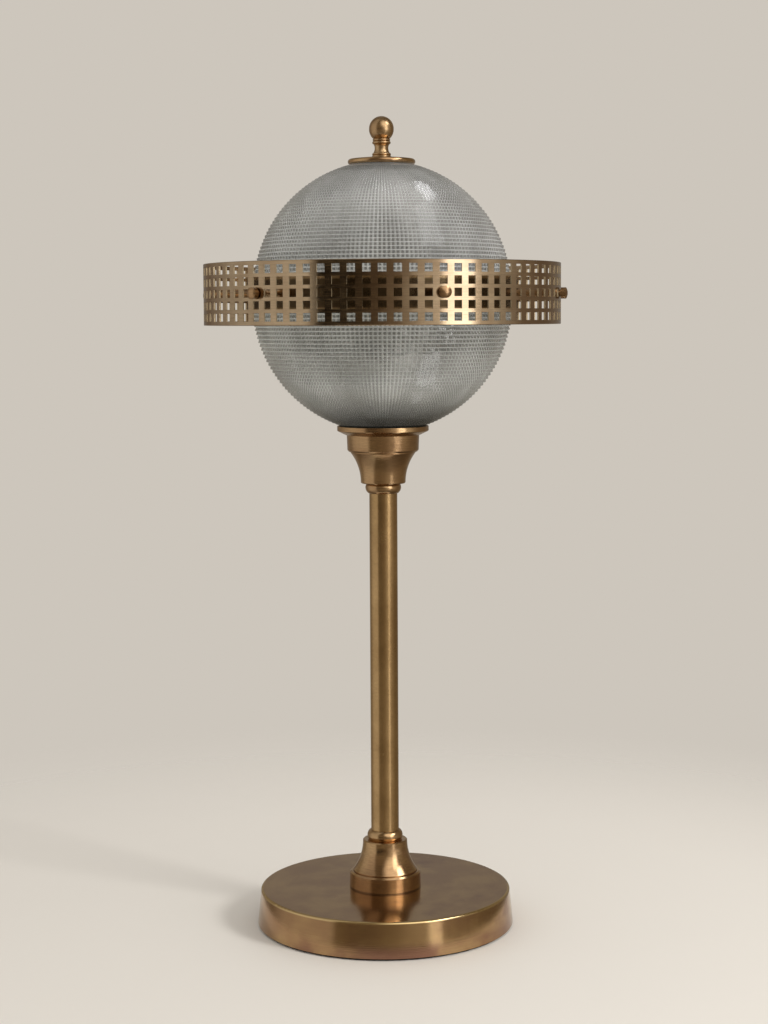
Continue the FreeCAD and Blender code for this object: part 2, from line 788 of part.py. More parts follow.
def dome_washer():
    return ring(DOME_WASHER_RADIUS, UPPER_HOLE_RADIUS, upper_flat, disc_foot)


def top_disc():
    """Low turned cap with a rounded rim. Its underside follows the dome below it."""
    recess = DOME_WASHER_RADIUS + SHAFT_PLAY
    under = upper_radius + DISC_DOME_GAP
    lip = DISC_RADIUS - DISC_RIM_ROUND

    def under_height(radius):
        return upper_centre + math.sqrt(under**2 - radius**2)

    middle = (recess + lip) / 2
    rim_top = disc_top - DISC_RIM_DROP
    rim_middle = (DISC_RADIUS, (rim_top + under_height(lip)) / 2)
    return turned(
        (SPIGOT_RADIUS + SHAFT_PLAY, disc_foot),
        (recess, disc_foot),
        (recess, under_height(recess)),
        ((middle, under_height(middle)), (lip, under_height(lip))),
        (rim_middle, (lip, rim_top)),
        (DISC_LAND_RADIUS, disc_top),
        (SPIGOT_RADIUS + SHAFT_PLAY, disc_top),
    )


def finial():
    """Turned finial with a tapped bore. Its spigot is spread under the disc and holds it."""

    def sized(share):
        return share[0] * FINIAL_BALL_RADIUS, disc_top + share[1] * FINIAL_HEIGHT

    outline = [
        tuple(sized(point) for point in step) if isinstance(step[0], tuple) else sized(step)
        for step in FINIAL_SHARES
    ]
    crown = disc_top + FINIAL_HEIGHT
    ball_centre = crown - FINIAL_BALL_RADIUS
    ball_middle, ball_rise = on_sphere(FINIAL_BALL_RADIUS, math.radians(45))
    outline.append((sized(FINIAL_BELLY_SHARES), (FINIAL_BALL_RADIUS, ball_centre)))
    outline.append(((ball_middle, ball_centre + ball_rise), (0, crown)))
    bore = UPPER_ROD_RADIUS + THREAD_PLAY
    bore_top = disc_top + FINIAL_THREAD + FINIAL_TAPPING_GAP
    flare_top = disc_foot - SHAFT_PLAY
    return turned(
        (bore, flare_top - SPIGOT_FLARE_THICKNESS),
        (SPIGOT_FLARE_RADIUS, flare_top - SPIGOT_FLARE_THICKNESS),
        (SPIGOT_FLARE_RADIUS, flare_top),
        (SPIGOT_RADIUS, flare_top),
        (SPIGOT_RADIUS, disc_top),
        sized(FINIAL_FOOT_SHARES),
        *outline,
        (0, bore_top),
        (bore, bore_top),
    )


pieces = {
    "base_felt": base_felt(),
    "base_shell": base_shell(),
    "base_weight": base_weight(),
    "cable_bush": cable_bush(),
    "base_washer": base_washer(),
    "base_nut": base_nut(),
    "foot_casting": casting(shell_top, 1),
    "foot_bead": bead(foot_neck, 1),
    "column_tube": column_tube(),
    "head_bead": bead(head_neck, -1),
    "head_casting": casting(gallery_foot, -1),
    "gallery_dish": gallery_dish(),
    "dome_gasket": dome_gasket(),
    "lower_dome": lower_dome(),
    "clamp_washer": clamp_washer(),
    "clamp_nut": clamp_nut(),
    "lower_rod": lower_rod(),
    "cluster_hub": cluster_hub(),
    "upper_rod_nut": upper_rod_nut(),
    "upper_rod": upper_rod(),
    "lower_rim_gasket": rim_gasket(LOWER_RADIUS, LOWER_RIB_DEPTH, lower_rim),
    "rim_spacer": rim_spacer(),
    "upper_rim_gasket": rim_gasket(upper_radius, UPPER_RIB_DEPTH, spacer_top),
    "inner_band": inner_band(),
    "pierced_ring": pierced_ring(),
    "ring_standoffs": Part.makeCompound(standoffs()),
    "ring_screws": Part.makeCompound(ring_screws()),
    "upper_dome": upper_dome(),
    "dome_washer": dome_washer(),
    "top_disc": top_disc(),
    "finial": finial(),
}

for side, word in ((-1, "left"), (1, "right")):
    pieces["nipple_" + word] = to_side(nipple(), side)
    pieces["lampholder_shell_" + word] = to_side(holder_shell(), side)
    pieces["lampholder_insulator_" + word] = to_side(holder_insulator(), side)
    pieces["lampholder_sleeve_" + word] = to_side(holder_sleeve(), side)
    pieces["bulb_cap_" + word] = to_side(bulb_cap(), side)
    pieces["bulb_glass_" + word] = to_side(bulb_glass(), side)

os.makedirs("parts", exist_ok=True)
for name, shape in pieces.items():
    shape.exportStep("parts/" + name + ".step")
    print(name, len(shape.Solids), round(shape.Volume), shape.isValid())
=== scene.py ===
import math

import bpy
import numpy as np
from mathutils import Euler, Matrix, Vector


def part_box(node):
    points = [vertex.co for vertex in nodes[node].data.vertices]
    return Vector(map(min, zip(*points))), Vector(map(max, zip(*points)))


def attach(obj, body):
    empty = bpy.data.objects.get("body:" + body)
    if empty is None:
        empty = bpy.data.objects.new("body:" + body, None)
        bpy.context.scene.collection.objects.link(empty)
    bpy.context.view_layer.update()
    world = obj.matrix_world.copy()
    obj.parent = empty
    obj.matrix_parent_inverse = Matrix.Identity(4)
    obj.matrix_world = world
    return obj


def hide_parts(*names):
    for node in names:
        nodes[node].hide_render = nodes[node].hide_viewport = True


# Table lamp with a globe of two prismatic glass domes inside a pierced brass ring. Lengths are in
# metres and angles in degrees, unless a name says otherwise. -Y is the front.

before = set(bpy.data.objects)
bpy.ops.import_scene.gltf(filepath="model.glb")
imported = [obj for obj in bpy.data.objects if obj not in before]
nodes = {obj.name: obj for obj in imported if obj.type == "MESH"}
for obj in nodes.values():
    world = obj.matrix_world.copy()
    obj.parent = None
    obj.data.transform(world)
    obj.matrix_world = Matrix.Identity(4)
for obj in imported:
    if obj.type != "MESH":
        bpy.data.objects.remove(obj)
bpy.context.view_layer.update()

# Camera at the photograph's viewing angle
CAMERA_DISTANCE = 1.781
CAMERA_HEIGHT = 0.5552
CAMERA_DOWN = 5.03
CAMERA_ROLL = 0.30
CAMERA_LENS = 69.33
CAMERA_SHIFT_UP = -0.0205
CAMERA_SHIFT_RIGHT = 0.0007

# World: the backdrop to the eye, the light on diffuse surfaces, and the light seen through glass
# with the share of it that is the same at all rises
BACKDROP = (0.61, 0.565, 0.503)
AMBIENT = (0.70, 0.685, 0.66)
THROUGH_GLASS = (1.08, 1.068, 1.035)
THROUGH_STEADY_SHARE = 0.55

# The room that the brass reflects is a bright wall on the left, a dark opening in front and a lamp
# on the right, with more contrast level with the ring. Its levels are given at azimuths, which
# count from the front towards +X. The tone goes from dim_tone to BACKDROP between the two clean
# levels, and is BACKDROP at azimuths beyond BEHIND on both sides.
BEHIND = 150
ROOM_WITH_RING = {
    "dim_tone": (0.61, 0.40, 0.23),
    "clean_levels": (0.05, 0.72),
    "levels": (
        (-180, 0.30),
        (-146, 0.30),
        (-108, 0.76),
        (-70, 1.0),
        (-45, 1.0),
        (-43, 0.01),
        (-20, 0.02),
        (-4, 0.13),
        (12, 0.34),
        (26, 1.10),
        (45, 1.58),
        (64, 1.32),
        (82, 0.62),
        (100, 0.38),
        (125, 0.30),
        (180, 0.38),
    ),
}
ROOM_AROUND = {
    "dim_tone": (0.61, 0.47, 0.28),
    "clean_levels": (0.2, 0.9),
    "levels": (
        (-180, 0.52),
        (-125, 0.42),
        (-106, 0.85),
        (-90, 1.0),
        (-60, 1.0),
        (-50, 0.94),
        (-45, 0.40),
        (-20, 0.37),
        (6, 0.45),
        (28, 0.64),
        (42, 0.70),
        (60, 0.62),
        (80, 0.50),
        (104, 0.36),
        (135, 0.34),
        (180, 0.52),
    ),
}

# Sines of the rises between which the room changes, and the shares of its light that are left
# overhead and underfoot
RING_ZONE_FOOT = (-0.09, -0.045)
RING_ZONE_TOP = (0.045, 0.10)
CEILING_ZONE = (0.30, 0.70)
CEILING_SHARE = 0.75
GROUND_ZONE = (-0.75, -0.35)
GROUND_SHARE = 0.6

# Round glows that only glossy rays see. The cosines are of the angles from the middle of a glow to
# its edge and to its full core.
GLOWS = (
    {"azimuth": 33, "rise": 40, "cosines": (0.80, 0.98), "colour": (1.2, 1.15, 1.08)},
    {"azimuth": 70, "rise": 41, "cosines": (0.975, 0.992), "colour": (5.0, 5.0, 5.1)},
)

# Soft rectangular lights on the right. The key isn't mirrored or seen through glass.
SOFTBOX = {
    "azimuth": 47.5,
    "distance": 2.2,
    "height": 1.0,
    "aim_height": 1.0,
    "size": (0.8, 1.5),
    "watts": 6.6,
}
LOW_LAMP = {
    "azimuth": 44,
    "distance": 2.2,
    "height": -0.28,
    "aim_height": -0.28,
    "size": (0.45, 0.5),
    "watts": 0.6,
}
KEY = {
    "azimuth": 55,
    "distance": 2.4,
    "height": 1.7,
    "aim_height": 0,
    "size": (0.6, 0.6),
    "watts": 36,
}

# Floor, with the distances from the axis between which it fades to the eye and in the brass
FLOOR_COLOUR = (0.84, 0.79, 0.72)
FLOOR_DARK_SHARE = 0.97
FLOOR_MOTTLE_SCALE = 3.0
FLOOR_ROUGHNESS = 0.6
FLOOR_RADIUS = 1.6
FLOOR_STEPS = 96
FLOOR_FADE = (0.36, 0.9)
FLOOR_FADE_IN_BRASS = (0.18, 0.20)

# Noise patterns: scale, detail, roughness, and the two levels between which the pattern comes in
CLOUDS = (26.0, 5.0, 0.55, 0.36, 0.66)
STAINS = (11.0, 6.0, 0.62, 0.56, 0.74)
SPECKS = (900.0, 2.0, 0.55, 0.66, 0.76)
GLOSS = (34.0, 4.0, 0.55, 0.32, 0.70)
STREAKS = (30.0, 2.0, 0.55, 0.3, 0.7)

# Turning lines: scales round the axis and along the outline, where height counts HEIGHT_WEIGHT
# times as much as radius
FINE_LINES = (3.0, 900.0)
COARSE_LINES = (1.5, 160.0)
COARSE_SHARE = 0.6
LINE_LEVELS = (0.30, 0.70)
HEIGHT_WEIGHT = 1.7
NEAR_AXIS = 1e-5

# Brasses: tones of the clouds, share of the stains, roughness, depth of the lines and how much
# they shade the tone. A box is that of the piece whose windows, own wear, painted highlight or
# painted shade the brass shows.
STAIN = (0.25, 0.13, 0.09)
SPECK_SHARE = 0.35
STAIN_ROUGHNESS = 0.10
GLOSS_RANGE = (0.82, 1.25)
BRASS_GRAIN = 0.11
TURNED_BRASS = {
    "light": (0.57, 0.39, 0.21),
    "deep": (0.43, 0.27, 0.145),
    "stained": 0.4,
    "roughness": 0.15,
    "brushed": 0.00006,
    "anisotropic": 0.4,
}
BRASSES = {
    "turned_brass": TURNED_BRASS,
    "foot_brass": {**TURNED_BRASS, "seam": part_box("foot_casting")},
    "satin_brass": {
        "light": (0.55, 0.385, 0.215),
        "deep": (0.42, 0.27, 0.145),
        "stained": 0.5,
        "roughness": 0.26,
        "brushed": 0.00005,
    },
    "column_brass": {
        "light": (0.56, 0.38, 0.19),
        "deep": (0.45, 0.295, 0.14),
        "stained": 0.3,
        "roughness": 0.22,
        "brushed": 0.00005,
        "anisotropic": 0.4,
    },
    "base_brass": {
        "light": (0.47, 0.31, 0.155),
        "deep": (0.37, 0.225, 0.12),
        "stained": 0.8,
        "roughness": 0.13,
        "brushed": 0.00003,
        "anisotropic": 0.3,
        "grain": 0.05,
        "shoulder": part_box("base_shell"),
    },
    "ring_brass": {
        "light": (0.56, 0.44, 0.30),
        "deep": (0.45, 0.335, 0.22),
        "stained": 0.25,
        "roughness": 0.08,
        "brushed": 0.00004,
        "anisotropic": 0.2,
        "windows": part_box("pierced_ring"),
    },
    "band_brass": {
        "light": (0.52, 0.37, 0.21),
        "deep": (0.40, 0.27, 0.14),
        "stained": 0.3,
        "roughness": 0.26,
        "brushed": 0.00006,
        "band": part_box("inner_band"),
    },
    "screw_brass": {
        "light": (0.50, 0.33, 0.185),
        "deep": (0.34, 0.21, 0.115),
        "stained": 0.4,
        "roughness": 0.22,
        "brushed": 0.00004,
    },
}

# Inner band: painted highlight along its upper and lower edges, and painted shade between them
BAND_HIGHLIGHT_WIDTH = 0.0042
BAND_PAINTED_SHADE = 0.3

# Base shell: bare brass with a painted highlight along its upper edge, and blotches at its foot,
# most of them in front
BARE_BRASS_AND_HIGHLIGHT = (0.72, 0.54, 0.28)
SHOULDER_TAPER = 0.0029
SHOULDER_WIDTH = 0.0026
FOOT_STAIN = 0.015
FRONT_STAIN = (-0.113, -0.103)
FRONT_STAIN_SHARE = 0.15
BLOTCH_SCALE = 9.0
BLOTCH_DETAIL = 5.0
BLOTCH_LEVELS = (0.46, 0.62)
BLOTCH_SHARE = 0.9

# Pierced ring: dull sawn walls of its windows, less metallic by SAWN_SHARE. A wall is known by a
# face that doesn't point out from the axis.
SAWN_BRASS = (0.50, 0.395, 0.25)
SAWN_SHARE = 0.55
SAWN_FACING = (0.6, 0.8)
RING_RIM = 0.002

# Foot casting: painted shade along its foot, where it stands on the base
SEAM_SHADE = (0.07, 0.04, 0.025)
SEAM_HEIGHT = 0.0016
SEAM_SHARE = 0.6

# Other surfaces: a light and a dark tone, mottled at a scale
PLAIN_FINISHES = {
    "plain_brass": {
        "light": (0.72, 0.56, 0.32),
        "dark": (0.58, 0.43, 0.23),
        "scale": 60.0,
        "roughness": 0.28,
        "metallic": 1.0,
    },
    "felt": {
        "light": (0.035, 0.032, 0.03),
        "dark": (0.012, 0.011, 0.01),
        "scale": 900.0,
        "roughness": 0.95,
        "bumps": 0.0006,
    },
    "iron": {
        "light": (0.10, 0.10, 0.10),
        "dark": (0.05, 0.045, 0.04),
        "scale": 120.0,
        "roughness": 0.6,
        "metallic": 0.7,
        "bumps": 0.0004,
    },
    "steel": {
        "light": (0.62, 0.62, 0.60),
        "dark": (0.50, 0.50, 0.49),
        "scale": 80.0,
        "roughness": 0.3,
        "metallic": 1.0,
    },
    "nickel": {
        "light": (0.74, 0.73, 0.70),
        "dark": (0.64, 0.63, 0.60),
        "scale": 80.0,
        "roughness": 0.22,
        "metallic": 1.0,
    },
    "silicone": {
        "light": (0.62, 0.63, 0.61),
        "dark": (0.50, 0.51, 0.49),
        "scale": 90.0,
        "roughness": 0.45,
    },
    "ceramic": {
        "light": (0.86, 0.85, 0.81),
        "dark": (0.80, 0.79, 0.74),
        "scale": 70.0,
        "roughness": 0.2,
    },
    "plastic": {
        "light": (0.035, 0.035, 0.035),
        "dark": (0.02, 0.02, 0.02),
        "scale": 300.0,
        "roughness": 0.45,
    },
    "frosted": {
        "light": (0.93, 0.93, 0.91),
        "dark": (0.88, 0.88, 0.86),
        "scale": 90.0,
        "roughness": 0.55,
        "bumps": 0.0001,
        "more": {"Transmission Weight": 0.35, "IOR": 1.5},
    },
}
PLAIN_BUMPS = 0.0002
MOTTLE_LEVELS = (0.35, 0.68)
MOTTLE_GLOSS_LEVELS = (0.3, 0.7)
MOTTLE_GLOSS_RANGE = (0.85, 1.15)

# Glass of the domes. The tint carries painted light and shade for how the prisms bend light: it is
# lightest where one cosine peaks on the ledges of the ribs outside and another on the ridges
# between the flutes inside, and darker between them. The levels are of these cosines. The tint has
# faint upright streaks, and darkens as painted shade towards the pole, to pole_light between the
# rises of POLE_SHADE. The outer OUTER_WALL_SHARE of the wall counts as outside.
GLASS_ROUGHNESS = 0.05
GLASS_IOR = 1.6
GLASS_HAZE = 0.30
GLASS_SHADOW = (0.82, 0.85, 0.83)
COAT_WEIGHT = 0.6
COAT_ROUGHNESS = 0.04
COAT_IOR = 1.9
LEDGE_LEVELS = (-0.2, 0.8)
RIDGE_LEVELS = (-0.1, 0.9)
RIDGE_SHARE = 0.9
OUTER_RIDGE_SHARE = 0.6
OUTER_WALL_SHARE = 0.6
STREAK_SHARE = 0.14
STREAK_RISE_SHARE = 0.2
POLE_SHADE = (35, 72)
RIDGE_BUMPS = 0.0002
WAVE_SCALE = 90.0
WAVE_BUMPS = 0.0004

# Glass domes. The pole is 1 where it points up and -1 where it points down. The tint is line on
# the painted light lines and cell in the painted shade between them, and pole_light is the share
# of it left near the pole, where it is painted shade.
GLASS_WALL = 0.005
GLASS_SHARP = 25
DOME_STEPS = 720
CROWN_ROWS = 7
INNER_ROWS = 28
FLUTES = 180
FLUTE_DEPTH = 0.0007
FLUTE_FADE = 0.008
DOMES = {
    "lower_dome": {
        "pole": -1,
        "radius": 0.1172,
        "rim_rise": 0.0023,
        "ribs": 42,
        "rib_depth": 0.0016,
        "face_share": 0.60,
        "flat_radius": 0.0199,
        "hole_radius": 0.012,
        "plain_radius": 0.027,
        "body": "stand",
        "line": (0.98, 0.975, 0.94),
        "cell": (0.33, 0.325, 0.305),
        "pole_light": 0.18,
    },
    "upper_dome": {
        "pole": 1,
        "radius": 0.1161,
        "rim_rise": 0.0023,
        "ribs": 40,
        "rib_depth": 0.0011,
        "face_share": 0.65,
        "flat_radius": 0.017,
        "hole_radius": 0.0086,
        "plain_radius": 0.0355,
        "body": "upper_dome",
        "line": (0.98, 0.975, 0.965),
        "cell": (0.32, 0.315, 0.305),
        "pole_light": 0.8,
    },
}

# Felt pad under the base
FELT_STEPS = 360
FELT_RAGGED = 0.0007
FELT_WAVES = ((23, 0.0), (57, 1.3), (131, 0.4))
FELT_HOLE_RADIUS = 0.004
FELT_SHARP = 60

# Finish of a node, by its name or the start of its name. All other nodes are turned brass.
FINISHES = {
    "base_felt": "felt",
    "base_shell": "base_brass",
    "base_weight": "iron",
    "cable_bush": "plastic",
    "inner_band": "band_brass",
    "rim_spacer": "band_brass",
    "pierced_ring": "ring_brass",
    "ring_standoffs": "screw_brass",
    "ring_screws": "screw_brass",
    "finial": "satin_brass",
    "foot_casting": "foot_brass",
    "cluster_hub": "plain_brass",
    "column_tube": "column_brass",
    "lower_dome": "lower_glass",
    "upper_dome": "upper_glass",
    "dome_gasket": "silicone",
    "dome_washer": "silicone",
    "lower_rim_gasket": "silicone",
    "upper_rim_gasket": "silicone",
}
FINISH_STARTS = {
    "base_washer": "steel",
    "base_nut": "steel",
    "clamp_": "steel",
    "lower_rod": "steel",
    "upper_rod": "steel",
    "nipple_": "steel",
    "lampholder_insulator": "ceramic",
    "lampholder_": "plain_brass",
    "bulb_cap": "nickel",
    "bulb_glass": "frosted",
}


class Nodes:
    """Nodes of a material or a world. The methods add nodes and return what they put out."""

    def __init__(self, block, end):
        block.use_nodes = True
        self.block = block
        self.end = end
        self.tree = block.node_tree
        self.tree.nodes.clear()

    def add(self, kind, inputs=(), output=0, **settings):
        node = self.tree.nodes.new(kind)
        for key, value in settings.items():
            setattr(node, key, value)
        for key, value in dict(inputs).items():
            if isinstance(value, bpy.types.NodeSocket):
                self.tree.links.new(value, node.inputs[key])
            else:
                node.inputs[key].default_value = value
        return node.outputs[output]

    def calc(self, operation, a, b=0.0, c=0.0):
        return self.add("ShaderNodeMath", {0: a, 1: b, 2: c}, operation=operation)

    def length(self, a, b):
        return self.calc("SQRT", self.calc("MULTIPLY_ADD", a, a, self.calc("MULTIPLY", b, b)))

    def dot(self, a, b):
        inputs = {0: a, 1: b}
        return self.add("ShaderNodeVectorMath", inputs, output="Value", operation="DOT_PRODUCT")

    def times(self, colour, factor):
        return self.add("ShaderNodeVectorMath", {0: colour, "Scale": factor}, operation="SCALE")

    def split(self, vector):
        return self.add("ShaderNodeSeparateXYZ", {0: vector}).node.outputs

    def spread(self, value, low, high, start=0.0, end=1.0):
        """Value moved from low..high to start..end, smoothly and within them."""
        sizes = {"Value": value, "From Min": low, "From Max": high, "To Min": start, "To Max": end}
        return self.add("ShaderNodeMapRange", sizes, interpolation_type="SMOOTHSTEP")

    def mix(self, share, a, b, blend="MIX"):
        return self.add(
            "ShaderNodeMix", {0: share, 6: a, 7: b}, output=2, data_type="RGBA", blend_type=blend
        )

    def finish(self, surface):
        """The material or world itself, with a surface at its end."""
        output = self.tree.nodes.new(self.end)
        self.tree.links.new(surface, output.inputs["Surface"])
        return self.block


class Material(Nodes):
    """Nodes of one material, placed by the coordinates of the object that wears it."""

    def __init__(self, name):
        super().__init__(bpy.data.materials.new(name), "ShaderNodeOutputMaterial")
        self.place = self.add("ShaderNodeTexCoord", output="Object")

    def noise(self, scale, detail=3.0, vector=None, roughness=0.55):
        place = vector or self.place
        sizes = {"Vector": place, "Scale": scale, "Detail": detail, "Roughness": roughness}
        return self.add("ShaderNodeTexNoise", sizes)

    def pattern(self, pattern, start=0.0, end=1.0, vector=None):
        scale, detail, roughness, low, high = pattern
        return self.spread(self.noise(scale, detail, vector, roughness), low, high, start, end)

    def bump(self, height, distance, normal=None):
        inputs = {"Height": height, "Distance": distance, "Strength": 1.0}
        if normal:
            inputs["Normal"] = normal
        return self.add("ShaderNodeBump", inputs)

    def turned(self, around, along):
        """Place that changes slowly round the axis and quickly along a turned outline."""
        x, y, z = self.split(self.place)
        radius = self.calc("MAXIMUM", self.length(x, y), NEAR_AXIS)
        outline = self.calc("MULTIPLY_ADD", z, HEIGHT_WEIGHT, radius)
        east = self.calc("MULTIPLY", self.calc("DIVIDE", x, radius), around)
        north = self.calc("MULTIPLY", self.calc("DIVIDE", y, radius), around)
        up = self.calc("MULTIPLY", outline, along)
        return self.add("ShaderNodeCombineXYZ", {0: east, 1: north, 2: up})

    def off_middle(self, low, high):
        """Distance up or down from the middle of a box, and half the height of the box."""
        height = self.split(self.place)[2]
        away = self.calc("ABSOLUTE", self.calc("SUBTRACT", height, (low.z + high.z) / 2))
        return away, (high.z - low.z) / 2


def rgba(colour):
    return (*colour, 1.0)


def paint_band_edge_light(m, tone, low, high):
    """Painted highlight on the upper and lower edges of a band, with painted shade between them.
    """
    away, half = m.off_middle(low, high)
    light = m.spread(away, half - BAND_HIGHLIGHT_WIDTH, half - BAND_HIGHLIGHT_WIDTH / 2, BAND_PAINTED_SHADE, 1.0)
    return m.mix(1.0, tone, light, "MULTIPLY")


def stain_shell_and_light_edge(m, tone, low, high):
    """Blotches at the foot of a shell, and bare brass with a painted highlight along its upper
    edge.
    """
    x, y, z = m.split(m.place)
    near = high.x - SHOULDER_TAPER
    out = m.spread(m.length(x, y), near - SHOULDER_WIDTH, near - SHOULDER_WIDTH / 2)
    up = m.spread(z, high.z - SHOULDER_WIDTH, high.z - SHOULDER_WIDTH / 2)
    foot = m.spread(z, low.z + FOOT_STAIN / 3, low.z + FOOT_STAIN, 1.0, 0.0)
    front = m.spread(y, *FRONT_STAIN, FRONT_STAIN_SHARE, 0.0)
    blotch = m.calc("ADD", m.noise(BLOTCH_SCALE, BLOTCH_DETAIL), front)
    blotch = m.spread(blotch, *BLOTCH_LEVELS, 0.0, BLOTCH_SHARE)
    tone = m.mix(m.calc("MULTIPLY", foot, blotch), tone, rgba(STAIN))
    # Bare brass along the upper edge, brightened as a painted highlight.
    return m.mix(m.calc("MULTIPLY", out, up), tone, rgba(BARE_BRASS_AND_HIGHLIGHT))


def paint_seam_shade(m, tone, low, high):
    """Painted shade along the foot of a casting."""
    height = m.split(m.place)[2]
    # Painted shade, darker towards the foot.
    seam_shade = m.spread(height, low.z + SEAM_HEIGHT / 2, low.z + SEAM_HEIGHT, SEAM_SHARE, 0.0)
    return m.mix(seam_shade, tone, rgba(SEAM_SHADE))


def window_walls(m, low, high):
    """1 on the walls of a ring's windows, and 0 on its faces and its rims."""
    x, y, z = m.split(m.place)
    outward = m.add("ShaderNodeCombineXYZ", {0: x, 1: y})
    outward = m.add("ShaderNodeVectorMath", {0: outward}, operation="NORMALIZE")
    facing = m.dot(outward, m.add("ShaderNodeTexCoord", output="Normal"))
    away, half = m.off_middle(low, high)
    inside = m.spread(away, half - RING_RIM, half - RING_RIM / 2, 1.0, 0.0)
    wall = m.spread(m.calc("ABSOLUTE", facing), *SAWN_FACING, 1.0, 0.0)
    return m.calc("MULTIPLY", wall, inside)


def antique_brass(name, spec):
    """Lacquered antique brass: cloudy tone, purple-brown stains and fine turning lines."""
    m = Material(name)
    tone = m.mix(m.pattern(CLOUDS), rgba(spec["deep"]), rgba(spec["light"]))
    stains = m.pattern(STAINS, 0.0, spec["stained"])
    tone = m.mix(stains, tone, rgba(STAIN))
    lines = m.noise(1.0, detail=4.0, vector=m.turned(*FINE_LINES), roughness=0.7)
    coarse = m.noise(1.0, detail=2.0, vector=m.turned(*COARSE_LINES))
    grain = spec.get("grain", BRASS_GRAIN)
    tone = m.mix(1.0, tone, m.spread(lines, *LINE_LEVELS, 1 - grain, 1 + grain), "MULTIPLY")
    tone = m.mix(m.pattern(SPECKS, 0.0, SPECK_SHARE), tone, rgba(STAIN))
    # The inner band gets a painted highlight along its edges and painted shade between them.
    if "band" in spec:
        tone = paint_band_edge_light(m, tone, *spec["band"])
    # The base shell gets blotches at its foot, and bare brass with a painted highlight along its
    # upper edge.
    if "shoulder" in spec:
        tone = stain_shell_and_light_edge(m, tone, *spec["shoulder"])
    # The foot casting gets painted shade along its foot.
    if "seam" in spec:
        tone = paint_seam_shade(m, tone, *spec["seam"])
    gloss = m.pattern(GLOSS, *(spec["roughness"] * share for share in GLOSS_RANGE))
    surface = {
        "Metallic": 1.0,
        "Roughness": m.calc("MULTIPLY_ADD", stains, STAIN_ROUGHNESS, gloss),
    }
    if "windows" in spec:
        wall = window_walls(m, *spec["windows"])
        tone = m.mix(wall, tone, rgba(SAWN_BRASS))
        surface["Metallic"] = m.calc("MULTIPLY_ADD", wall, -SAWN_SHARE, 1.0)
    surface["Base Color"] = tone
    height = m.calc("MULTIPLY_ADD", coarse, COARSE_SHARE, lines)
    surface["Normal"] = m.bump(height, spec["brushed"])
    if "anisotropic" in spec:
        surface["Anisotropic"] = spec["anisotropic"]
        surface["Anisotropic Rotation"] = 0.25
        surface["Tangent"] = m.add("ShaderNodeTangent", direction_type="RADIAL", axis="Z")
    return m.finish(m.add("ShaderNodeBsdfPrincipled", surface))


def prism_tint_with_painted_light(m, spec, centre):
    """Tint of the glass, with painted light and shade on its prisms and painted shade towards its
    pole, and the pattern of the ridges between its flutes.
    """
    x, y, z = m.split(m.place)
    flat = m.length(x, y)
    over = m.calc("SUBTRACT", z, centre)
    rise = m.calc("ABSOLUTE", m.calc("ARCTAN2", over, flat))
    first, step = rib_angles(spec)
    ledge = first + step * (1 + spec["face_share"]) / 2
    turns = m.calc("MULTIPLY", m.calc("SUBTRACT", rise, ledge), 2 * math.pi / step)
    ledges = m.spread(m.calc("COSINE", turns), *LEDGE_LEVELS)
    turns = m.calc("MULTIPLY", m.calc("ARCTAN2", x, y), FLUTES)
    ridges = m.spread(m.calc("COSINE", turns), *RIDGE_LEVELS, 0.0, RIDGE_SHARE)
    outer_face = spec["radius"] - OUTER_WALL_SHARE * GLASS_WALL
    outside = m.calc("GREATER_THAN", m.length(over, flat), outer_face)
    outer = m.calc("MAXIMUM", ledges, m.calc("MULTIPLY", ridges, OUTER_RIDGE_SHARE))
    grid = m.add("ShaderNodeMix", {0: outside, 2: ridges, 3: outer})
    stretched = m.calc("MULTIPLY", z, STREAK_RISE_SHARE)
    upright = m.add("ShaderNodeCombineXYZ", {0: x, 1: y, 2: stretched})
    streaks = m.pattern(STREAKS, -STREAK_SHARE, STREAK_SHARE, upright)
    # Painted light on the ledges and ridges, and painted shade in the cells between them.
    tint = m.mix(m.calc("ADD", grid, streaks), rgba(spec["cell"]), rgba(spec["line"]))
    start, end = POLE_SHADE
    # Painted shade towards the pole.
    shade = m.spread(rise, math.radians(start), math.radians(end), 1.0, spec["pole_light"])
    return m.mix(1.0, tint, shade, "MULTIPLY"), ridges


def prismatic_glass(name):
    """Grey pressed glass that scatters some light. Lamps shine through it on to what it holds."""
    m = Material("glass_of_" + name)
    tint, ridges = prism_tint_with_painted_light(m, DOMES[name], dome_centre(name))
    waves = m.bump(m.noise(WAVE_SCALE, detail=2.0), WAVE_BUMPS)
    ripple = m.bump(ridges, RIDGE_BUMPS, waves)
    surface = {
        "Base Color": tint,
        "Roughness": GLASS_ROUGHNESS,
        "IOR": GLASS_IOR,
        "Transmission Weight": 1.0,
        "Coat Weight": COAT_WEIGHT,
        "Coat Roughness": COAT_ROUGHNESS,
        "Coat IOR": COAT_IOR,
        "Coat Normal": ripple,
        "Normal": ripple,
    }
    clear = m.add("ShaderNodeBsdfPrincipled", surface)
    front = m.add("ShaderNodeBsdfDiffuse", {"Color": tint})
    behind = m.add("ShaderNodeBsdfTranslucent", {"Color": tint})
    veil = m.add("ShaderNodeMixShader", {0: 0.5, 1: front, 2: behind})
    glass = m.add("ShaderNodeMixShader", {0: GLASS_HAZE, 1: clear, 2: veil})
    open_glass = m.add("ShaderNodeBsdfTransparent", {"Color": rgba(GLASS_SHADOW)})
    shadow = m.add("ShaderNodeLightPath", output="Is Shadow Ray")
    return m.finish(m.add("ShaderNodeMixShader", {0: shadow, 1: glass, 2: open_glass}))


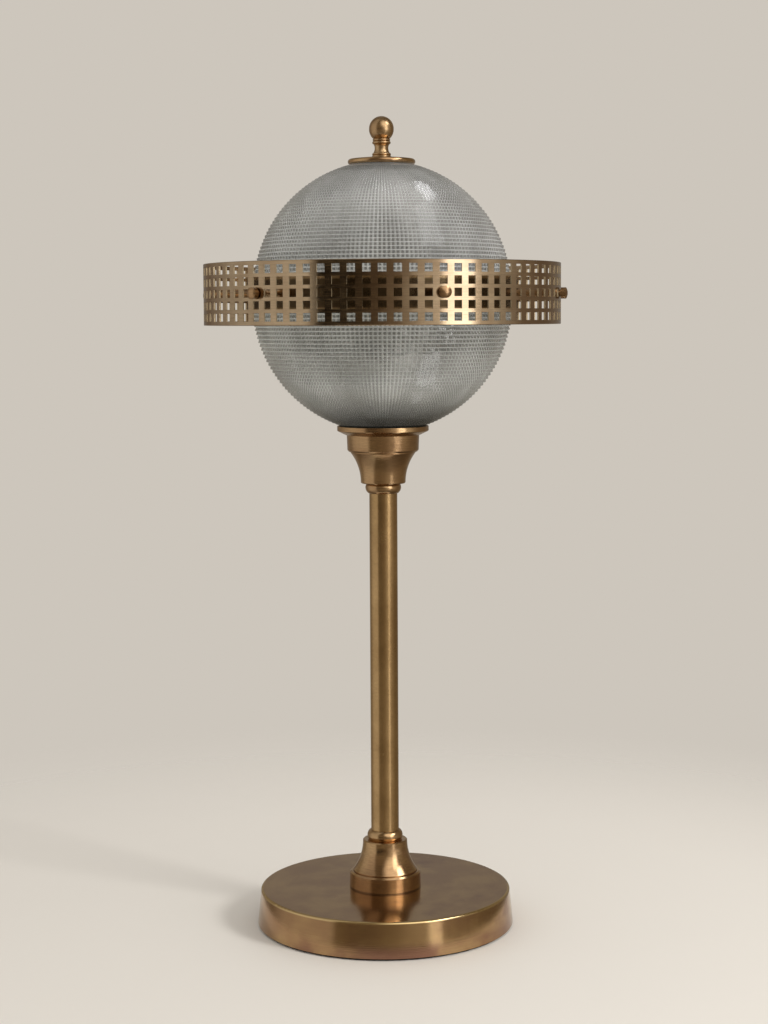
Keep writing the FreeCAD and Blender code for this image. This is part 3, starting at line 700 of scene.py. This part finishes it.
def plain_finish(name, spec):
    """A surface with a fine mottle, for what is hidden or shows little."""
    m = Material(name)
    mottle = m.noise(spec["scale"], detail=4.0)
    tone = m.mix(m.spread(mottle, *MOTTLE_LEVELS), rgba(spec["dark"]), rgba(spec["light"]))
    smooth, rough = (spec["roughness"] * share for share in MOTTLE_GLOSS_RANGE)
    surface = {
        "Base Color": tone,
        "Metallic": spec.get("metallic", 0.0),
        "Roughness": m.spread(mottle, *MOTTLE_GLOSS_LEVELS, smooth, rough),
        "Normal": m.bump(mottle, spec.get("bumps", PLAIN_BUMPS)),
        **spec.get("more", {}),
    }
    return m.finish(m.add("ShaderNodeBsdfPrincipled", surface))


def make_materials():
    materials = {name: antique_brass(name, spec) for name, spec in BRASSES.items()}
    for name, spec in PLAIN_FINISHES.items():
        materials[name] = plain_finish(name, spec)
    for name in DOMES:
        materials[FINISHES[name]] = prismatic_glass(name)
    return materials


def finish_of(name):
    if name in FINISHES:
        return FINISHES[name]
    for start, finish in FINISH_STARTS.items():
        if name.startswith(start):
            return finish
    return "turned_brass"


def dress_nodes(materials):
    for name, node in nodes.items():
        for slot in node.material_slots:
            slot.material = materials[finish_of(name)]


def new_piece(name, points, faces, material, sharp):
    """A mesh with smooth faces and sharp edges where faces meet at more than an angle."""
    mesh = bpy.data.meshes.new(name)
    mesh.from_pydata(points, [], faces)
    mesh.update()
    mesh.polygons.foreach_set("use_smooth", [True] * len(mesh.polygons))
    mesh.set_sharp_from_angle(angle=math.radians(sharp))
    mesh.materials.append(material)
    piece = bpy.data.objects.new(name, mesh)
    bpy.context.scene.collection.objects.link(piece)
    return piece


def loft(profiles):
    """Points and faces of a closed tube of profiles round the axis, each a loop of points."""
    count = len(profiles)
    rows = len(profiles[0])
    points = [tuple(point) for profile in profiles for point in profile]
    faces = []
    for here in range(count):
        there = (here + 1) % count
        for row in range(rows):
            after = (row + 1) % rows
            faces.append(
                (
                    here * rows + row,
                    there * rows + row,
                    there * rows + after,
                    here * rows + after,
                )
            )
    return points, faces


def dome_centre(name):
    """Height of the centre of a dome's sphere."""
    low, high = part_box(name)
    rim = low.z if DOMES[name]["pole"] > 0 else high.z
    return rim - DOMES[name]["rim_rise"]


def rib_angles(spec):
    """Angle over the equator of a dome's first rib, and the pitch of its ribs."""
    valley = spec["radius"] - spec["rib_depth"]
    first = math.asin(max(spec["pole"] * spec["rim_rise"], 0) / valley)
    plain_start = math.acos(spec["plain_radius"] / spec["radius"])
    return first, (plain_start - first) / spec["ribs"]


def dome_outline(spec):
    """Radius, height over the sphere's centre and flute share of each point of a dome's loop."""
    radius = spec["radius"]
    bore = radius - GLASS_WALL
    valley = radius - spec["rib_depth"]
    rim = spec["pole"] * spec["rim_rise"]
    start, step = rib_angles(spec)
    plain_start = start + step * spec["ribs"]
    loop = []
    if rim < 0:
        loop.append((valley, rim, 0))
    for rib in range(spec["ribs"]):
        foot = start + step * rib
        tip = start + step * (rib + spec["face_share"])
        loop.append((valley * math.cos(foot), valley * math.sin(foot), 0))
        loop.append((radius * math.cos(tip), radius * math.sin(tip), 0))
    pole = math.acos(spec["flat_radius"] / radius)
    for stop in np.linspace(plain_start, pole, CROWN_ROWS):
        loop.append((radius * math.cos(stop), radius * math.sin(stop), 0))
    flat = radius * math.sin(pole)
    loop.append((spec["hole_radius"], flat, 0))
    loop.append((spec["hole_radius"], flat - GLASS_WALL, 0))
    inner_rise = math.asin(max(rim, 0) / bore)
    inner_pole = math.asin((flat - GLASS_WALL) / bore)
    for stop in np.linspace(inner_pole, inner_rise, INNER_ROWS):
        far = min(bore * (inner_pole - stop), bore * (stop - inner_rise))
        share = min(max(far / FLUTE_FADE, 0), 1) * math.cos(stop) ** 0.5
        loop.append((bore * math.cos(stop), bore * math.sin(stop), share))
    if rim < 0:
        loop.append((bore, rim, 0))
    return loop


def glass_dome(name, material):
    """Dome with sharp prisms round its outside and fine upright flutes on its inside."""
    spec = DOMES[name]
    centre = dome_centre(name)
    outline = dome_outline(spec)
    profiles = []
    for step in range(DOME_STEPS):
        angle = 2 * math.pi * step / DOME_STEPS
        swell = FLUTE_DEPTH * (0.5 - 0.5 * math.cos(FLUTES * angle))
        profiles.append(
            [
                (
                    (reach + swell * share) * math.sin(angle),
                    -(reach + swell * share) * math.cos(angle),
                    centre + spec["pole"] * height,
                )
                for reach, height, share in outline
            ]
        )
    points, faces = loft(profiles)
    if spec["pole"] < 0:
        faces = [face[::-1] for face in faces]
    piece = new_piece("prismatic_" + name, points, faces, material, GLASS_SHARP)
    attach(piece, spec["body"])
    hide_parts(name)


def felt_pad(material):
    """Felt disc with a slightly ragged edge."""
    low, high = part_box("base_felt")
    radius = (high.x - low.x) / 2
    soft = (high.z - low.z) / 4
    profiles = []
    for step in range(FELT_STEPS):
        angle = 2 * math.pi * step / FELT_STEPS
        ragged = sum(math.sin(count * angle + start) for count, start in FELT_WAVES)
        edge = radius - FELT_RAGGED + FELT_RAGGED * ragged / len(FELT_WAVES)
        loop = [
            (FELT_HOLE_RADIUS, low.z),
            (edge - soft, low.z),
            (edge, low.z + soft),
            (edge, high.z - soft),
            (edge - soft, high.z),
            (FELT_HOLE_RADIUS, high.z),
        ]
        profiles.append(
            [(reach * math.sin(angle), -reach * math.cos(angle), height) for reach, height in loop]
        )
    points, faces = loft(profiles)
    piece = new_piece("felt_pad", points, faces, material, FELT_SHARP)
    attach(piece, "stand")
    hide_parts("base_felt")


def floor_material():
    """Pale board that fades into the backdrop, and sooner in what the brass reflects."""
    m = Material("floor")
    dark = tuple(FLOOR_DARK_SHARE * value for value in FLOOR_COLOUR)
    tone = m.mix(m.noise(FLOOR_MOTTLE_SCALE), rgba(FLOOR_COLOUR), rgba(dark))
    surface = {"Base Color": tone, "Roughness": FLOOR_ROUGHNESS}
    board = m.add("ShaderNodeBsdfPrincipled", surface)
    distance = m.add("ShaderNodeVectorMath", {0: m.place}, output="Value", operation="LENGTH")
    mirrored = m.add("ShaderNodeLightPath", output="Is Glossy Ray")
    sooner = m.calc("MULTIPLY", mirrored, m.spread(distance, *FLOOR_FADE_IN_BRASS))
    fade = m.calc("MAXIMUM", m.spread(distance, *FLOOR_FADE), sooner)
    clear = m.add("ShaderNodeBsdfTransparent")
    return m.finish(m.add("ShaderNodeMixShader", {0: fade, 1: board, 2: clear}))


def make_floor():
    mesh = bpy.data.meshes.new("floor")
    ring = []
    for step in range(FLOOR_STEPS):
        angle = 2 * math.pi * step / FLOOR_STEPS
        ring.append((FLOOR_RADIUS * math.cos(angle), FLOOR_RADIUS * math.sin(angle), 0))
    mesh.from_pydata(ring, [], [tuple(range(FLOOR_STEPS))])
    floor = bpy.data.objects.new("floor", mesh)
    bpy.context.scene.collection.objects.link(floor)
    mesh.materials.append(floor_material())


def room_ramp(w, share, room):
    """Colour of a room at a share of a full turn that starts behind."""
    ramp = w.add("ShaderNodeValToRGB", {0: share})
    elements = ramp.node.color_ramp.elements
    dimmest, brightest = room["clean_levels"]
    for number, (angle, level) in enumerate(room["levels"]):
        spot = angle / 360 + 0.5
        element = elements[number] if number < 2 else elements.new(spot)
        element.position = spot
        clean = (level - dimmest) / (brightest - dimmest)
        clean = min(max(clean, abs(angle) > BEHIND), 1)
        pairs = zip(room["dim_tone"], BACKDROP)
        element.color = rgba(level * (a + (b - a) * clean) for a, b in pairs)
    return ramp


def add_glow(w, way, room, glow):
    """The room with a round glow in one direction."""
    rise = math.radians(glow["rise"])
    turn = math.radians(glow["azimuth"])
    aim = (math.cos(rise) * math.sin(turn), -math.cos(rise) * math.cos(turn), math.sin(rise))
    light = w.times(glow["colour"], w.spread(w.dot(way, aim), *glow["cosines"]))
    return w.add("ShaderNodeVectorMath", {0: room, 1: light}, operation="ADD")


def make_world():
    """Plain pale backdrop to the eye, and a room with a dark side that the brass reflects."""
    w = Nodes(bpy.data.worlds.new("studio"), "ShaderNodeOutputWorld")
    way = w.add("ShaderNodeTexCoord", output="Generated")
    x, y, z = w.split(way)
    azimuth = w.calc("ARCTAN2", x, w.calc("MULTIPLY", y, -1.0))
    share = w.calc("MULTIPLY_ADD", azimuth, 1 / (2 * math.pi), 0.5)
    foot = w.spread(z, *RING_ZONE_FOOT)
    top = w.spread(z, *RING_ZONE_TOP, 1.0, 0.0)
    around = room_ramp(w, share, ROOM_AROUND)
    with_ring = room_ramp(w, share, ROOM_WITH_RING)
    room = w.mix(w.calc("MULTIPLY", foot, top), around, with_ring)
    high = w.spread(z, *CEILING_ZONE, 1.0, CEILING_SHARE)
    low = w.spread(z, *GROUND_ZONE, GROUND_SHARE, 1.0)
    upright = w.calc("MULTIPLY", high, low)
    room = w.times(room, upright)
    for glow in GLOWS:
        room = add_glow(w, way, room, glow)
    steady = THROUGH_STEADY_SHARE
    through = w.times(THROUGH_GLASS, w.calc("MULTIPLY_ADD", upright, 1 - steady, steady))
    rays = w.add("ShaderNodeLightPath").node.outputs
    shown = w.mix(rays["Is Glossy Ray"], rgba(AMBIENT), room)
    shown = w.mix(rays["Is Transmission Ray"], shown, through)
    shown = w.mix(rays["Is Camera Ray"], shown, rgba(BACKDROP))
    light = w.add("ShaderNodeBackground", {"Color": shown, "Strength": 1.0})
    bpy.context.scene.world = w.finish(light)


def make_light(name, spec):
    """A soft rectangular light that faces the lamp and that the camera doesn't see."""
    data = bpy.data.lights.new(name, "AREA")
    data.shape = "RECTANGLE"
    data.size, data.size_y = spec["size"]
    data.energy = spec["watts"]
    light = bpy.data.objects.new(name, data)
    bpy.context.scene.collection.objects.link(light)
    angle = math.radians(spec["azimuth"])
    away = (spec["distance"] * math.sin(angle), -spec["distance"] * math.cos(angle))
    light.location = (*away, spec["height"])
    aim = Vector((0, 0, spec["aim_height"])) - light.location
    light.rotation_euler = aim.to_track_quat("-Z", "Y").to_euler()
    light.visible_camera = False
    return light


def make_lights():
    make_light("softbox", SOFTBOX)
    make_light("low_lamp", LOW_LAMP)
    key = make_light("key", KEY)
    key.visible_glossy = False
    key.visible_transmission = False


def make_camera():
    data = bpy.data.cameras.new("camera")
    data.lens = CAMERA_LENS
    data.shift_x = CAMERA_SHIFT_RIGHT
    data.shift_y = CAMERA_SHIFT_UP
    camera = bpy.data.objects.new("camera", data)
    bpy.context.scene.collection.objects.link(camera)
    camera.location = (0, -CAMERA_DISTANCE, CAMERA_HEIGHT)
    level = Euler((math.radians(90 - CAMERA_DOWN), 0, 0)).to_matrix()
    roll = Euler((0, 0, math.radians(-CAMERA_ROLL))).to_matrix()
    camera.rotation_euler = (level @ roll).to_euler()
    bpy.context.scene.camera = camera


scene = bpy.context.scene
scene.view_settings.view_transform = "Standard"
materials = make_materials()
dress_nodes(materials)
for name in DOMES:
    glass_dome(name, materials[FINISHES[name]])
felt_pad(materials[FINISHES["base_felt"]])
make_floor()
make_world()
make_lights()
make_camera()
